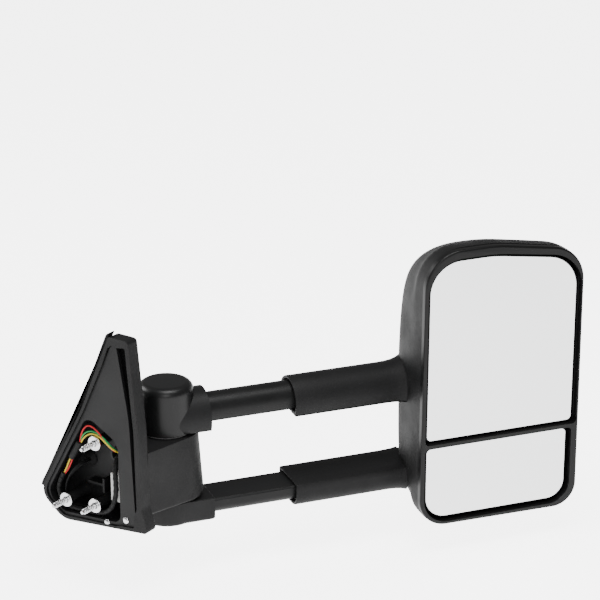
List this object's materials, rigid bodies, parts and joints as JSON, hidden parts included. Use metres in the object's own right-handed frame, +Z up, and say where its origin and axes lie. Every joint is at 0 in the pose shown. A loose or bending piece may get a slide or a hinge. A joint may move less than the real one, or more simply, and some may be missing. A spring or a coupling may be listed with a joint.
{
  "type": "towing mirror",
  "caption": "Telescoping twin-arm towing mirror with a fold pivot on a triangular door sail, a tall head and a wide-angle lower glass.",
  "frame": {"origin": "axis of the upper mounting stud, where it leaves the mounting face of the door sail", "axes": "+X outboard, square to the mounting face; +Y towards the vehicle front; +Z up, along the fold pivot"},
  "size_m": [0.4634, 0.4184, 0.3135],
  "materials": {
    "textured_black": "fine moulded grain",
    "satin_black": "smooth satin",
    "bracket_black": "plain moulded",
    "arm_black": "satin powder coat",
    "black_rubber": "matte",
    "sheath_black": "taped sheath",
    "wire_red": "pvc",
    "wire_green": "pvc",
    "wire_yellow": "pvc",
    "white_nylon": "moulded",
    "grey_nylon": "moulded",
    "zinc_steel": "zinc plated",
    "dark_steel": "phosphated",
    "mirror_glass": "silvered"
  },
  "bodies": {
    "base": {"base_housing": "textured_black", "base_bracket": "bracket_black", "mounting_studs": "zinc_steel", "stud_flanges": "zinc_steel", "pillar_seal": "black_rubber", "bracket_screws": "zinc_steel", "wire_grommet": "black_rubber", "harness_sheath": "sheath_black", "red_wire": "wire_red", "green_wire": "wire_green", "yellow_wire": "wire_yellow", "yellow_tail": "wire_yellow", "red_tail": "wire_red", "mirror_lead": "sheath_black", "motor_lead": "sheath_black", "splice_sleeve": "sheath_black", "connector": "white_nylon"},
    "arms": {"upper_knuckle": "textured_black", "lower_knuckle": "textured_black", "pivot_cap": "satin_black", "upper_tube": "arm_black", "lower_bar": "arm_black", "upper_glide": "grey_nylon", "lower_glide": "grey_nylon", "arm_screws": "dark_steel", "pivot_shaft": "dark_steel", "upper_washer": "grey_nylon", "lower_washer": "grey_nylon", "pivot_spring": "dark_steel", "spring_seat": "dark_steel", "pivot_nut": "zinc_steel"},
    "head": {"head_housing": "textured_black", "bezel": "satin_black", "upper_wiper": "black_rubber", "lower_wiper": "black_rubber", "head_frame": "bracket_black", "frame_screws": "zinc_steel", "actuator_case": "bracket_black", "adjuster_motors": "dark_steel", "actuator_screws": "zinc_steel", "main_yoke": "grey_nylon", "lower_yoke": "grey_nylon"},
    "tilt_jack": {"tilt_plunger": "grey_nylon"},
    "pan_jack": {"pan_plunger": "grey_nylon"},
    "main_gimbal": {"main_cross": "grey_nylon"},
    "main_mirror": {"main_glass": "mirror_glass", "main_backing": "bracket_black"},
    "lower_gimbal": {"lower_cross": "grey_nylon"},
    "lower_mirror": {"lower_glass": "mirror_glass", "lower_backing": "bracket_black"}
  },
  "joints": [
    {"name": "fold", "type": "hinge", "parent": "base", "child": "arms", "pos_m": [0.072, -0.038, 0], "axis": [0, 0, 1], "range_deg": [-50, 70]},
    {"name": "extend", "type": "slide", "parent": "arms", "child": "head", "axis": [0.829, -0.5592, 0], "range_m": [-0.09, 0]},
    {"name": "main_tilt", "type": "hinge", "parent": "head", "child": "main_gimbal", "pos_m": [0.33265, -0.28015, 0.067], "axis": [0.829, -0.5592, 0], "range_deg": [-7, 7]},
    {"name": "main_pan", "type": "hinge", "parent": "main_gimbal", "child": "main_mirror", "pos_m": [0.33265, -0.28015, 0.067], "axis": [0, 0, 1], "range_deg": [-7, 7]},
    {"name": "lower_tilt", "type": "hinge", "parent": "head", "child": "lower_gimbal", "pos_m": [0.33265, -0.28015, -0.0795], "axis": [0.829, -0.5592, 0], "range_deg": [-7, 7]},
    {"name": "lower_pan", "type": "hinge", "parent": "lower_gimbal", "child": "lower_mirror", "pos_m": [0.33265, -0.28015, -0.0795], "axis": [0, 0, 1], "range_deg": [-7, 7]},
    {"name": "tilt_drive", "type": "slide", "parent": "head", "child": "tilt_jack", "axis": [0.5592, 0.829, 0], "range_m": [-0.0035, 0.0035]},
    {"name": "pan_drive", "type": "slide", "parent": "head", "child": "pan_jack", "axis": [0.5592, 0.829, 0], "range_m": [-0.0035, 0.0035]}
  ],
  "couplings": [
    {"joint": "tilt_drive", "follows": "main_tilt", "m_per_rad": 0.026},
    {"joint": "pan_drive", "follows": "main_pan", "m_per_rad": 0.026}
  ]
}
